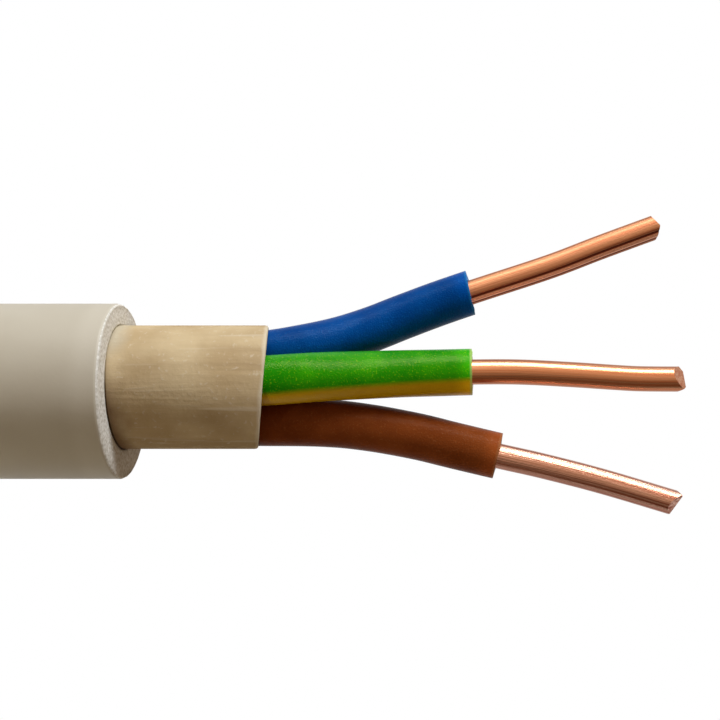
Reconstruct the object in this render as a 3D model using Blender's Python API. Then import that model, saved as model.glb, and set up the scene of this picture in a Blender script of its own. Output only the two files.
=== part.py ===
"""A 10 m coil of three-core sheathed installation cable, lying flat, with its outer end stripped.

Metres, +Z up. The coil is wound about an upright axis and held by flat straps. The cable's outer
end leaves the lowest outer turn in a straight tail along +X. There the sheath is cut back from the
bedding, the bedding from the three insulated cores, and the insulation from the solid conductors.
"""

import math

import bmesh
import bpy
from mathutils import Vector

# The cable's section.
SHEATH_RADIUS = 0.0046
BEDDING_RADIUS = 0.00325
BEDDING_OFFSET = 0.00021  # the bedding sits this far to one side in the sheath
CORE_RADIUS = 0.001275
CONDUCTOR_RADIUS = 0.00069

# Room between one layer and the next.
BEDDING_CLEARANCE = 0.00005
CORE_CLEARANCE = 0.00003
CONDUCTOR_CLEARANCE = 0.00003

# The coil. A row is one flat layer of turns.
TURNS_ACROSS = 5
TURNS_HIGH = 5
TURN_PITCH = 0.0093
COIL_MID_RADIUS = 0.0632
TURN_SHOULDER = math.radians(60)  # how far round each turn shows, to either side of its crest

# The straps that hold the coil.
STRAP_COUNT = 3
STRAP_FIRST_ANGLE = math.radians(-6)
STRAP_WIDTH = 0.010
STRAP_THICKNESS = 0.0006
STRAP_CLEARANCE = 0.0003

# The straight tail, from where it leaves the coil's circle to the cut of its sheath.
TAIL_LENGTH = 0.072
TAIL_SETTLES = 0.045  # over this length it comes down from the coil's lowest row to the floor
TAIL_CLEARANCE = 0.0003

# The stripped end. Lengths count from the sheath's cut, and the bedding's cut leans.
LAYERS_REACH_BACK = 0.010
BEDDING_SHOWS = 0.00756
BEDDING_CUT_LEAN_SIDEWAYS = 0.085
BEDDING_CUT_LEAN_UP = 0.10

# Each core: where its insulation and its conductor end, and the points it passes through as
# (along, aside, above) the tail's axis, in millimetres. It lies straight in the bedding first.
CORES = {
    "blue": {
        "insulation_ends": 0.01893,
        "conductor_ends": 0.02945,
        "route_mm": [
            (-10, 1.88, -0.60), (5, 1.88, -0.60), (7.5, 1.94, -0.65), (9.5, 2.27, -1.10),
            (11.5, 2.75, -2.00), (13.3, 3.35, -2.60), (15.0, 4.03, -3.00), (17.0, 4.79, -3.22),
            (19.0, 5.48, -3.30), (23.5, 6.96, -3.30), (26.3, 8.03, -3.30), (29.6, 9.24, -3.30),
        ],
    },
    "green_yellow": {
        "insulation_ends": 0.01880,
        "conductor_ends": 0.03040,
        "route_mm": [
            (-10, 0.56, 1.80), (5, 0.56, 1.80), (7.7, 0.59, 1.78), (9.7, 0.72, 1.45),
            (11.2, 0.79, 0.75), (13.0, 0.84, -0.20), (15.1, 0.90, -1.00), (17.1, 0.94, -1.40),
            (18.8, 0.98, -1.60), (21.3, 0.98, -1.62), (24.2, 0.84, -1.62), (26.8, 0.67, -1.62),
            (28.0, 0.61, -1.62), (30.6, 0.59, -1.62),
        ],
    },
    "brown": {
        "insulation_ends": 0.02024,
        "conductor_ends": 0.02990,
        "route_mm": [
            (-10, -1.61, 0.00), (5, -1.61, 0.00), (7.5, -1.63, -0.02), (10.0, -1.69, -0.40),
            (11.6, -1.81, -0.80), (12.7, -1.96, -1.10), (14.0, -2.18, -1.35), (16.0, -2.59, -1.60),
            (17.7, -3.02, -1.72), (20.2, -3.67, -1.80), (22.6, -4.23, -1.80), (25.9, -5.04, -1.80),
            (30.1, -6.26, -1.80),
        ],
    },
}

# How finely round shapes are divided.
COIL_STEPS = 40
SHEATH_SIDES = 24
BEDDING_SIDES = 32
CORE_SIDES = 14
CORE_STEP = 0.0017
TAIL_STEP = 0.009
CORNER_STEPS = 4

# Worked out from the sizes above.
INNER_TURN_RADIUS = COIL_MID_RADIUS - TURN_PITCH * (TURNS_ACROSS - 1) / 2
OUTER_TURN_RADIUS = INNER_TURN_RADIUS + TURN_PITCH * (TURNS_ACROSS - 1)
LOWEST_TURN_HEIGHT = STRAP_THICKNESS + STRAP_CLEARANCE + SHEATH_RADIUS
HIGHEST_TURN_HEIGHT = LOWEST_TURN_HEIGHT + TURN_PITCH * (TURNS_HIGH - 1)
SHEATH_CUT = Vector((TAIL_LENGTH, OUTER_TURN_RADIUS, SHEATH_RADIUS))

FINISHES = {
    "sheath": ((0.55, 0.52, 0.46), 0.45, 0.0),
    "bedding": ((0.58, 0.47, 0.30), 0.85, 0.0),
    "blue": ((0.005, 0.075, 0.27), 0.45, 0.0),
    "green_yellow": ((0.06, 0.36, 0.01), 0.45, 0.0),
    "brown": ((0.12, 0.04, 0.012), 0.45, 0.0),
    "conductor": ((0.72, 0.38, 0.26), 0.3, 1.0),
    "strap": ((0.35, 0.36, 0.38), 0.4, 0.0),
}


def clear_scene():
    for thing in list(bpy.data.objects):
        bpy.data.objects.remove(thing)


def finish(name):
    """The material of this finish, made the first time that it is asked for."""
    if name in bpy.data.materials:
        return bpy.data.materials[name]
    colour, roughness, metallic = FINISHES[name]
    material = bpy.data.materials.new(name)
    material.use_nodes = True
    surface = material.node_tree.nodes["Principled BSDF"]
    surface.inputs["Base Color"].default_value = (*colour, 1.0)
    surface.inputs["Roughness"].default_value = roughness
    surface.inputs["Metallic"].default_value = metallic
    return material


def add_object(name, shape, finish_name):
    """Puts the bmesh in the scene as one object of one material, with its round sides smooth."""
    bmesh.ops.recalc_face_normals(shape, faces=shape.faces)
    mesh = bpy.data.meshes.new(name)
    shape.to_mesh(mesh)
    shape.free()
    mesh.materials.append(finish(finish_name))
    mesh.shade_smooth()
    mesh.set_sharp_from_angle(angle=math.radians(40))
    made = bpy.data.objects.new(name, mesh)
    bpy.context.scene.collection.objects.link(made)
    return made


def make_cutter(thing):
    thing.hide_render = True
    thing.display_type = "WIRE"
    return thing


def cut(thing, cutter):
    """Takes the cutter's shape out of the thing."""
    boolean = thing.modifiers.new("cut by " + cutter.name, "BOOLEAN")
    boolean.operation = "DIFFERENCE"
    boolean.solver = "EXACT"
    boolean.object = make_cutter(cutter)


def skin(rings, closed=False):
    """A closed surface over a list of rings of points: capped at both ends, or joined end to end."""
    shape = bmesh.new()
    loops = [[shape.verts.new(point) for point in ring] for ring in rings]
    pairs = list(zip(loops, loops[1:]))
    if closed:
        pairs.append((loops[-1], loops[0]))
    for near, far in pairs:
        for i in range(len(near)):
            j = (i + 1) % len(near)
            shape.faces.new((near[i], near[j], far[j], far[i]))
    if not closed:
        shape.faces.new(loops[0])
        shape.faces.new(loops[-1])
    return shape


def ease(share):
    """0 to 1, level at both ends."""
    share = min(max(share, 0.0), 1.0)
    return share * share * (3 - 2 * share)


def ring_at(centre, heading, radius, sides):
    """A ring of points square to the heading, the first one aside of it."""
    aside = Vector((0, 0, 1)).cross(heading).normalized()
    above = heading.cross(aside).normalized()
    turns = (math.tau * i / sides for i in range(sides))
    return [centre + radius * (math.cos(t) * aside + math.sin(t) * above) for t in turns]


def rings_along(path, radius, sides):
    """Rings of this radius at each point of a path."""
    rings = []
    for i, centre in enumerate(path):
        heading = path[min(i + 1, len(path) - 1)] - path[max(i - 1, 0)]
        rings.append(ring_at(centre, heading.normalized(), radius, sides))
    return rings


def value_along(route, along, column):
    """The route's value at a distance along it, on a smooth curve through its points."""
    last = len(route) - 2
    i = max(k for k in range(last + 1) if k == 0 or route[k][0] <= along)
    before, here, there, after = (route[min(max(k, 0), last + 1)] for k in range(i - 1, i + 3))
    span = there[0] - here[0]
    share = (along - here[0]) / span
    slope_here = span * (there[column] - before[column]) / max(there[0] - before[0], span)
    slope_there = span * (after[column] - here[column]) / max(after[0] - here[0], span)
    return (
        here[column] * (1 + 2 * share) * (1 - share) ** 2
        + slope_here * share * (1 - share) ** 2
        + there[column] * share**2 * (3 - 2 * share)
        + slope_there * share**2 * (share - 1)
    )


def core_point(core, along):
    """The point of a core's centreline at this distance past the sheath's cut."""
    route = [tuple(value / 1000 for value in point) for point in core["route_mm"]]
    aside = value_along(route, along, 1)
    above = value_along(route, along, 2)
    return SHEATH_CUT + Vector((along, aside, above))


def core_path(core, start, end):
    steps = max(round((end - start) / CORE_STEP), 2)
    return [core_point(core, start + (end - start) * i / steps) for i in range(steps + 1)]


def tail_axis(along, start_height):
    """The tail's centreline: it leaves the lowest row and settles on the floor."""
    height = start_height + (SHEATH_RADIUS - start_height) * ease(along / TAIL_SETTLES)
    return Vector((along, OUTER_TURN_RADIUS, height))


def coil_section():
    """The outline of the packed turns, as (radius, height) points, each turn a round crest."""
    rim = []
    sides = (
        (INNER_TURN_RADIUS, LOWEST_TURN_HEIGHT, 1, 0, TURNS_ACROSS, -90),
        (OUTER_TURN_RADIUS, LOWEST_TURN_HEIGHT, 0, 1, TURNS_HIGH, 0),
        (OUTER_TURN_RADIUS, HIGHEST_TURN_HEIGHT, -1, 0, TURNS_ACROSS, 90),
        (INNER_TURN_RADIUS, HIGHEST_TURN_HEIGHT, 0, -1, TURNS_HIGH, 180),
    )
    for radius, height, step_out, step_up, count, facing in sides:
        crest = math.radians(facing)
        for k in range(count - 1):
            turn = Vector((radius + k * step_out * TURN_PITCH, height + k * step_up * TURN_PITCH))
            start = crest - (math.pi / 2 - TURN_SHOULDER / 3 if k == 0 else TURN_SHOULDER)
            for i in range(4):
                angle = start + (crest + TURN_SHOULDER - start) * i / 3
                rim.append(turn + SHEATH_RADIUS * Vector((math.cos(angle), math.sin(angle))))
        corner = Vector(
            (radius + (count - 1) * step_out * TURN_PITCH, height + (count - 1) * step_up * TURN_PITCH)
        )
        for i in range(3):
            angle = crest - TURN_SHOULDER + TURN_SHOULDER * i / 2
            rim.append(corner + SHEATH_RADIUS * Vector((math.cos(angle), math.sin(angle))))
    return rim


def make_coil():
    """The coil is one turned solid, with its turns on all its faces and the tail's way cut in."""
    section = coil_section()
    rings = []
    for step in range(COIL_STEPS):
        turn = math.tau * step / COIL_STEPS
        rings.append(
            [Vector((p.x * math.cos(turn), p.x * math.sin(turn), p.y)) for p in section]
        )
    coil = add_object("cable_coil", skin(rings, closed=True), "sheath")
    way = [tail_axis(along, LOWEST_TURN_HEIGHT) for along in tail_stations()]
    way[0] = way[0] - Vector((TAIL_CLEARANCE, 0, 0))
    channel = skin(rings_along(way, SHEATH_RADIUS + TAIL_CLEARANCE, SHEATH_SIDES))
    cut(coil, add_object("channel for the tail", channel, "sheath"))


def tail_stations():
    count = max(round(TAIL_LENGTH / TAIL_STEP), 2)
    return [TAIL_LENGTH * i / count for i in range(count + 1)]


def make_tail():
    """The tail is a solid rod of sheath, bored at its cut end for the layers that come out."""
    path = [tail_axis(along, LOWEST_TURN_HEIGHT) for along in tail_stations()]
    rings = rings_along(path, SHEATH_RADIUS, SHEATH_SIDES)
    bore_axis = SHEATH_CUT + Vector((0, BEDDING_OFFSET, 0))
    bore_radius = BEDDING_RADIUS + BEDDING_CLEARANCE
    for back in (0.0, LAYERS_REACH_BACK + BEDDING_CLEARANCE):
        centre = bore_axis - Vector((back, 0, 0))
        rings.append(ring_at(centre, Vector((1, 0, 0)), bore_radius, SHEATH_SIDES))
    add_object("cable_tail", skin(rings), "sheath")


def make_bedding():
    """The bedding is a round plug with a leaning cut, and one bore along each core."""
    axis = SHEATH_CUT + Vector((0, BEDDING_OFFSET, 0))
    rear = ring_at(
        axis - Vector((LAYERS_REACH_BACK, 0, 0)), Vector((1, 0, 0)), BEDDING_RADIUS, BEDDING_SIDES
    )
    front = []
    for point in rear:
        out = point - axis
        lean = BEDDING_CUT_LEAN_SIDEWAYS * out.y + BEDDING_CUT_LEAN_UP * out.z
        front.append(Vector((axis.x + BEDDING_SHOWS + lean, point.y, point.z)))
    bedding = add_object("bedding", skin([rear, front]), "bedding")
    for name, core in CORES.items():
        path = core_path(core, -LAYERS_REACH_BACK, core["insulation_ends"])
        path[0] = path[0] - Vector((CORE_STEP, 0, 0))
        bore = skin(rings_along(path, CORE_RADIUS + CORE_CLEARANCE, CORE_SIDES))
        cut(bedding, add_object("bore for " + name, bore, "bedding"))


def make_core(name, core):
    """A core is a tube of insulation round a solid conductor, which reaches further."""
    path = core_path(core, -LAYERS_REACH_BACK, core["insulation_ends"])
    outside = rings_along(path, CORE_RADIUS, CORE_SIDES)
    inside = rings_along(path, CONDUCTOR_RADIUS + CONDUCTOR_CLEARANCE, CORE_SIDES)
    add_object("insulation_" + name, skin(outside + inside[::-1], closed=True), name)
    further = core_path(core, core["insulation_ends"], core["conductor_ends"])
    wire = rings_along(path + further[1:], CONDUCTOR_RADIUS, CORE_SIDES)
    add_object("conductor_" + name, skin(wire), "conductor")


def strap_outline(offset):
    """The coil's section as a rounded box this far outside its turns, clear of the bore's curve."""
    bore = INNER_TURN_RADIUS - SHEATH_RADIUS
    sagitta = bore - math.sqrt(bore**2 - (STRAP_WIDTH / 2) ** 2)
    corners = (
        (OUTER_TURN_RADIUS, LOWEST_TURN_HEIGHT, -90),
        (OUTER_TURN_RADIUS, HIGHEST_TURN_HEIGHT, 0),
        (INNER_TURN_RADIUS - sagitta, HIGHEST_TURN_HEIGHT, 90),
        (INNER_TURN_RADIUS - sagitta, LOWEST_TURN_HEIGHT, 180),
    )
    reach = SHEATH_RADIUS + offset
    outline = []
    for radius, height, start in corners:
        for i in range(CORNER_STEPS + 1):
            angle = math.radians(start + 90 * i / CORNER_STEPS)
            outline.append((radius + reach * math.cos(angle), height + reach * math.sin(angle)))
    return outline


def make_strap(number):
    """A strap is a flat band round the coil's section."""
    turn = STRAP_FIRST_ANGLE + math.tau * number / STRAP_COUNT
    out = Vector((math.cos(turn), math.sin(turn), 0))
    along = Vector((-math.sin(turn), math.cos(turn), 0))
    rings = []
    for offset, side in ((0, -1), (0, 1), (STRAP_THICKNESS, 1), (STRAP_THICKNESS, -1)):
        rings.append(
            [
                out * radius + Vector((0, 0, height)) + along * side * STRAP_WIDTH / 2
                for radius, height in strap_outline(STRAP_CLEARANCE + offset)
            ]
        )
    add_object(f"strap_{number + 1}", skin(rings, closed=True), "strap")


def centre_footprint():
    """Moves everything so that the origin is under the middle of the object's box."""
    bpy.context.view_layer.update()
    corners = [
        thing.matrix_world @ vertex.co
        for thing in bpy.data.objects
        if not thing.hide_render
        for vertex in thing.data.vertices
    ]
    middle = [(min(c[k] for c in corners) + max(c[k] for c in corners)) / 2 for k in range(2)]
    lowest = min(c.z for c in corners)
    for thing in bpy.data.objects:
        thing.location -= Vector((middle[0], middle[1], lowest))


clear_scene()
make_coil()
make_tail()
make_bedding()
for core_name, core_sizes in CORES.items():
    make_core(core_name, core_sizes)
for strap_number in range(STRAP_COUNT):
    make_strap(strap_number)
centre_footprint()
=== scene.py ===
# %% [markdown]
# # A coil of three-core installation cable, stripped at its outer end
#
# The object is a 10 m ring of grey sheathed cable with solid copper cores, as it is sold. Its outer
# end runs out straight and is stripped in steps: sheath, beige bedding, three coloured insulations
# and bright copper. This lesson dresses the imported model. The frame gives every size and place
# that it can, and the cells below add the finish and the small shapes that a solid model leaves
# out.

# %% Load the frame
import math

import bmesh
import bpy
import numpy as np
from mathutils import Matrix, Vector


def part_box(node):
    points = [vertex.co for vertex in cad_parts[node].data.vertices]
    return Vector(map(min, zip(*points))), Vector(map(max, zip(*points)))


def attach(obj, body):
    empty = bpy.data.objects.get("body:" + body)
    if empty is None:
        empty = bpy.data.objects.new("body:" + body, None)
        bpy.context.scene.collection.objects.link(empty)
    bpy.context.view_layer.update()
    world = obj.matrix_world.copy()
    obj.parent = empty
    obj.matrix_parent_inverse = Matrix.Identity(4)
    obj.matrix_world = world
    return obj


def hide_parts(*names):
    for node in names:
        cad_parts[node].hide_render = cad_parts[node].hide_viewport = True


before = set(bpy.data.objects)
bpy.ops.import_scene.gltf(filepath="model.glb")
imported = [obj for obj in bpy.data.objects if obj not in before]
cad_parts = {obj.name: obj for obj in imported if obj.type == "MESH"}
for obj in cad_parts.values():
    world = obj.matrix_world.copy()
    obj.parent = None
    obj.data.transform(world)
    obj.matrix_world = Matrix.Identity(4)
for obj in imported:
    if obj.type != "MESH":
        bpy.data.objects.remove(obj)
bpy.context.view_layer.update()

# %% [markdown]
# ## Where the cable lies
#
# The straight tail ends at the cut of its sheath, on the floor. That cut is the reference point of
# everything at the stripped end, and the coil's own box gives the circle of its outermost turn.

# %% Read the cable's places from the frame
tail_low, tail_high = (Vector(corner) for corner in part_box("cable_tail"))
coil_low, coil_high = (Vector(corner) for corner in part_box("cable_coil"))
SHEATH_RADIUS = (tail_high.y - tail_low.y) / 2
SHEATH_CUT = Vector((tail_high.x, tail_high.y - SHEATH_RADIUS, tail_low.z + SHEATH_RADIUS))
COIL_CENTRE = (coil_low + coil_high) / 2
OUTER_TURN = (coil_high.x - coil_low.x) / 2 - SHEATH_RADIUS
TURNS_ACROSS = 5
TURNS_HIGH = 5
TURN_PITCH = (coil_high.z - coil_low.z - 2 * SHEATH_RADIUS) / (TURNS_HIGH - 1)
LOWEST_ROW = coil_low.z + SHEATH_RADIUS
print(f"sheath {2000 * SHEATH_RADIUS:.2f} mm across, turns {1000 * TURN_PITCH:.2f} mm apart")

# %% [markdown]
# ## The camera
#
# The photograph looks straight down on the stripped end from close by, so the sheath's cut face
# shows as a thin ellipse at the left. A lens of this length, at this height over the cable's
# axis, gives that ellipse its width and the cable its thickness in the picture.

# %% Aim the camera straight down
PICTURE_PX = 720
FOCAL_PX = 830
EYE_OVER_AXIS = 0.0438
EYE_PAST_CUT = 0.01266
EYE_ASIDE = 0.001636

eye_data = bpy.data.cameras.new("eye")
eye_data.lens = eye_data.sensor_width * FOCAL_PX / PICTURE_PX
eye_data.clip_start = 0.001
eye = bpy.data.objects.new("eye", eye_data)
eye.location = SHEATH_CUT + Vector((EYE_PAST_CUT, EYE_ASIDE, EYE_OVER_AXIS))
bpy.context.scene.collection.objects.link(eye)
bpy.context.scene.camera = eye
print(f"lens {eye_data.lens:.1f} mm, {1000 * eye.location.z:.1f} mm over the floor")

# %% [markdown]
# ## Small helpers for materials
#
# Every material here is a Principled shader with a few nodes before it. Two effects are shared,
# and so they are node groups: a fine grain, and marks that run along a drawn or extruded piece.
# The marks need to know which way the piece runs, so each swept piece carries an attribute, lay,
# with the cosine and sine of the angle round it and the distance along it in millimetres. Noise
# lies mostly between 0.3 and 0.7, so a finish spreads a range inside that to the range it needs.


# %% Helpers that add and join nodes
def feed(tree, socket, value):
    """Joins an input to another node's output, or sets it to a plain number or colour."""
    if isinstance(value, bpy.types.NodeSocket):
        tree.links.new(value, socket)
    elif socket.type == "RGBA":
        socket.default_value = (*value, 1.0)
    else:
        socket.default_value = value


def put(tree, kind, inputs=(), **settings):
    """A new node with its settings, and its inputs set to values or joined to sockets."""
    node = tree.nodes.new(kind)
    for name, value in settings.items():
        setattr(node, name, value)
    for name, value in dict(inputs).items():
        feed(tree, node.inputs[name], value)
    return node


def math_of(tree, operation, *values):
    return put(tree, "ShaderNodeMath", enumerate(values), operation=operation).outputs[0]


def times(tree, value, *factors):
    for factor in factors:
        value = math_of(tree, "MULTIPLY", value, factor)
    return value


def spread(tree, value, low, high, to_low=0.0, to_high=1.0, smooth=False):
    """The value's range from low to high, spread to another range and held at its ends."""
    kind = "SMOOTHSTEP" if smooth else "LINEAR"
    numbers = {"Value": value, "From Min": low, "From Max": high}
    numbers.update({"To Min": to_low, "To Max": to_high})
    return put(tree, "ShaderNodeMapRange", numbers, interpolation_type=kind).outputs["Result"]


def blend_colours(tree, share, first, second, how="MIX"):
    """The second colour laid over the first by a share. The sockets have numbers, not names."""
    inputs = {0: share, 6: first, 7: second}
    return put(tree, "ShaderNodeMix", inputs, data_type="RGBA", blend_type=how).outputs[2]


def lay_of(tree):
    """The lay attribute: cosine and sine of the angle round the piece, and millimetres along."""
    lay = put(tree, "ShaderNodeAttribute", attribute_name="lay").outputs["Vector"]
    return tuple(put(tree, "ShaderNodeSeparateXYZ", {"Vector": lay}).outputs)


# %% Helpers for shader groups and materials
def new_group(name, inputs, outputs):
    """An empty shader group whose named inputs and outputs are all numbers."""
    tree = bpy.data.node_groups.new(name, "ShaderNodeTree")
    for way, titles in (("INPUT", inputs), ("OUTPUT", outputs)):
        for title in titles:
            tree.interface.new_socket(title, in_out=way, socket_type="NodeSocketFloat")
    return tree, tree.nodes.new("NodeGroupInput"), tree.nodes.new("NodeGroupOutput")


def use_group(tree, group, **values):
    """A node of a shader group, its inputs given by name with _ for a space."""
    node = tree.nodes.new("ShaderNodeGroup")
    node.node_tree = group
    for name, value in values.items():
        node.inputs[name.replace("_", " ")].default_value = value
    return node


def dress(tree, surface, inputs):
    """Sets the shader's own inputs, or joins them."""
    for name, value in inputs.items():
        feed(tree, surface.inputs[name], value)


def new_material(name, **inputs):
    """A Principled material, its tree and its shader node, with a few inputs set by name."""
    material = bpy.data.materials.new(name)
    material.use_nodes = True
    surface = material.node_tree.nodes["Principled BSDF"]
    dress(material.node_tree, surface, inputs)
    return material, material.node_tree, surface


def bump(tree, surface, height, depth, strength):
    node = put(tree, "ShaderNodeBump", {"Height": height, "Distance": depth, "Strength": strength})
    tree.links.new(node.outputs["Normal"], surface.inputs["Normal"])


def whiten_near_cut(material, length, over_mm, share, tone, how="MIX"):
    """Blends a paler tone over the colour near a cut; the same blend makes plain lightening and the
    painted highlights on the insulation's cut rims.
    """
    tree = material.node_tree
    surface = tree.nodes["Principled BSDF"]
    colour = surface.inputs["Base Color"].links[0].from_socket
    _, _, along = lay_of(tree)
    left = math_of(tree, "SUBTRACT", 1000 * length, along)
    pale = spread(tree, left, 0.0, over_mm, share, 0.0, smooth=True)
    dress(tree, surface, {"Base Color": blend_colours(tree, pale, colour, tone, how)})


# %% A fine grain, for anything moulded, extruded or cut
def make_grain():
    """Height and blotches from two sizes of noise on the piece's own place."""
    tree, given, out = new_group("fine grain", ["Scale", "Coarse Scale"], ["Height", "Blotches"])
    place = put(tree, "ShaderNodeTexCoord").outputs["Object"]
    for effect, scale, detail in (("Height", "Scale", 4.0), ("Blotches", "Coarse Scale", 3.0)):
        inputs = {"Vector": place, "Scale": given.outputs[scale], "Detail": detail}
        noise = put(tree, "ShaderNodeTexNoise", inputs)
        tree.links.new(noise.outputs["Fac"], out.inputs[effect])
    return tree


GRAIN = make_grain()
print("shader group:", GRAIN.name)


# %% Marks that run along a drawn or extruded piece
def make_lengthwise():
    """Streaks stretched along the piece, from the lay attribute."""
    tree, given, out = new_group("lengthwise marks", ["Round", "Along"], ["Height", "Streaks"])
    cosine, sine, along = lay_of(tree)
    stretched = {
        "X": times(tree, cosine, given.outputs["Round"]),
        "Y": times(tree, sine, given.outputs["Round"]),
        "Z": times(tree, along, given.outputs["Along"]),
    }
    vector = put(tree, "ShaderNodeCombineXYZ", stretched).outputs["Vector"]
    for effect, scale, detail in (("Height", 1.0, 5.0), ("Streaks", 0.35, 2.0)):
        inputs = {"Vector": vector, "Scale": scale, "Detail": detail}
        noise = put(tree, "ShaderNodeTexNoise", inputs)
        tree.links.new(noise.outputs["Fac"], out.inputs[effect])
    return tree


LENGTHWISE = make_lengthwise()
print("shader group:", LENGTHWISE.name)

# %% [markdown]
# ## The sheath's finish
#
# The sheath is extruded PVC: satin, a warm light grey, with a faint grain and slightly uneven
# tone. Where the knife went through, the fresh face is paler and granular, with no gloss.

# %% Make the sheath's two materials
SHEATH_TONES = ((0.60, 0.545, 0.44), (0.64, 0.59, 0.485))
SHEATH_STREAK = (0.58, 0.52, 0.41)
FACE_TONES = ((0.68, 0.645, 0.565), (0.99, 0.97, 0.92))


def make_sheath():
    material, tree, surface = new_material("sheath grey", Roughness=0.42)
    grain = use_group(tree, GRAIN, Scale=5200.0, Coarse_Scale=260.0)
    lengthwise = use_group(tree, LENGTHWISE, Round=2.6, Along=0.05)
    tone = spread(tree, grain.outputs["Blotches"], 0.3, 0.7)
    colour = blend_colours(tree, tone, *SHEATH_TONES)
    streak = spread(tree, lengthwise.outputs["Streaks"], 0.45, 0.7, 0.0, 0.35)
    colour = blend_colours(tree, streak, colour, SHEATH_STREAK)
    dress(tree, surface, {"Base Color": colour, "Specular IOR Level": 0.3})
    fine = times(tree, grain.outputs["Height"], 0.5)
    height = math_of(tree, "ADD", fine, lengthwise.outputs["Height"])
    bump(tree, surface, height, depth=0.000012, strength=0.6)
    return material


def make_sheath_face():
    material, tree, surface = new_material("sheath cut face", Roughness=0.85)
    grain = use_group(tree, GRAIN, Scale=6800.0, Coarse_Scale=2200.0)
    tone = spread(tree, grain.outputs["Height"], 0.35, 0.65)
    colour = blend_colours(tree, tone, *FACE_TONES)
    dress(tree, surface, {"Base Color": colour, "Specular IOR Level": 0.15})
    height = math_of(tree, "ADD", grain.outputs["Height"], grain.outputs["Blotches"])
    bump(tree, surface, height, depth=0.00005, strength=0.8)
    return material


SHEATH = make_sheath()
SHEATH_FACE = make_sheath_face()
print("materials:", SHEATH.name, "and", SHEATH_FACE.name)

# %% [markdown]
# ## Sweeping a profile along a route
#
# The cable, each core's insulation and each conductor are all one thing to a geometry tree: a
# circle swept along a route. The straps further down are a flat profile swept along their path,
# so both trees share their beginning and their end: named inputs, real instances and a material.
# The result is made a plain mesh, because the ends are finished by hand: they are where a knife
# or a cutter has been.


# %% Helpers for geometry trees
def new_piece_tree(name, inputs):
    """An empty geometry tree, its inputs, and the identifiers that a modifier sets them by."""
    tree = bpy.data.node_groups.new(name, "GeometryNodeTree")
    identifiers = {}
    for title, kind in inputs:
        socket = tree.interface.new_socket(title, in_out="INPUT", socket_type="NodeSocket" + kind)
        identifiers[title] = socket.identifier
    tree.interface.new_socket("Piece", in_out="OUTPUT", socket_type="NodeSocketGeometry")
    return tree, tree.nodes.new("NodeGroupInput"), identifiers


def end_piece_tree(tree, shape, material):
    """Makes a tree's instances real and gives the shape its material."""
    real = put(tree, "GeometryNodeRealizeInstances", {"Geometry": shape})
    inputs = {"Geometry": real.outputs["Geometry"], "Material": material}
    dressed = put(tree, "GeometryNodeSetMaterial", inputs)
    out = tree.nodes.new("NodeGroupOutput")
    tree.links.new(dressed.outputs["Geometry"], out.inputs["Piece"])


def link_piece(name, mesh):
    piece = bpy.data.objects.new(name, mesh)
    bpy.context.scene.collection.objects.link(piece)
    return piece


def plain_mesh(piece):
    """The piece's evaluated shape as a plain mesh, with its modifiers gone."""
    seen = piece.evaluated_get(bpy.context.evaluated_depsgraph_get())
    made = bpy.data.meshes.new_from_object(seen)
    made.name = piece.name
    piece.modifiers.clear()
    old = piece.data
    piece.data = made
    bpy.data.meshes.remove(old)
    return piece


def run_along(name, points, sweep, **inputs):
    """A plain mesh that a sweeping tree makes along a line of points, its inputs set by name."""
    tree, identifiers = sweep
    mesh = bpy.data.meshes.new(name)
    mesh.from_pydata([tuple(p) for p in points], [(i, i + 1) for i in range(len(points) - 1)], [])
    piece = link_piece(name, mesh)
    modifier = piece.modifiers.new("sweep", "NODES")
    modifier.node_group = tree
    for title, value in inputs.items():
        modifier[identifiers[title]] = value
    return plain_mesh(piece)


# %% Build the geometry tree for a round piece
def make_sweep_tree():
    tree, given, identifiers = new_piece_tree(
        "sweep a round profile",
        (("Route", "Geometry"), ("Radius", "Float"), ("Sides", "Int"), ("Material", "Material")),
    )
    line = put(tree, "GeometryNodeMeshToCurve", {"Mesh": given.outputs["Route"]})
    circle = put(
        tree,
        "GeometryNodeCurvePrimitiveCircle",
        {"Resolution": given.outputs["Sides"], "Radius": given.outputs["Radius"]},
    )
    tube = put(
        tree,
        "GeometryNodeCurveToMesh",
        {"Curve": line.outputs["Curve"], "Profile Curve": circle.outputs["Curve"]},
    )
    smooth = put(tree, "GeometryNodeSetShadeSmooth", {"Geometry": tube.outputs["Mesh"]})
    end_piece_tree(tree, smooth.outputs["Geometry"], given.outputs["Material"])
    return tree, identifiers


SWEEP = make_sweep_tree()
print("geometry tree:", SWEEP[0].name)


def swept_rings(route, radius, sides, material):
    """The rings of a swept tube, as an array of rings by sides by 3, in the route's order."""
    piece = run_along("swept tube", route, SWEEP, Radius=radius, Sides=sides, Material=material)
    points = np.empty(len(piece.data.vertices) * 3)
    piece.data.vertices.foreach_get("co", points)
    bpy.data.objects.remove(piece)
    return points.reshape(len(route), sides, 3)


# %% A piece built up ring by ring
def frame_at(route, i):
    """Heading, aside and above at a point of a route."""
    heading = Vector(route[min(i + 1, len(route) - 1)]) - Vector(route[max(i - 1, 0)])
    heading.normalize()
    aside = Vector((0, 0, 1)).cross(heading).normalized()
    return heading, aside, heading.cross(aside).normalized()


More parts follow.
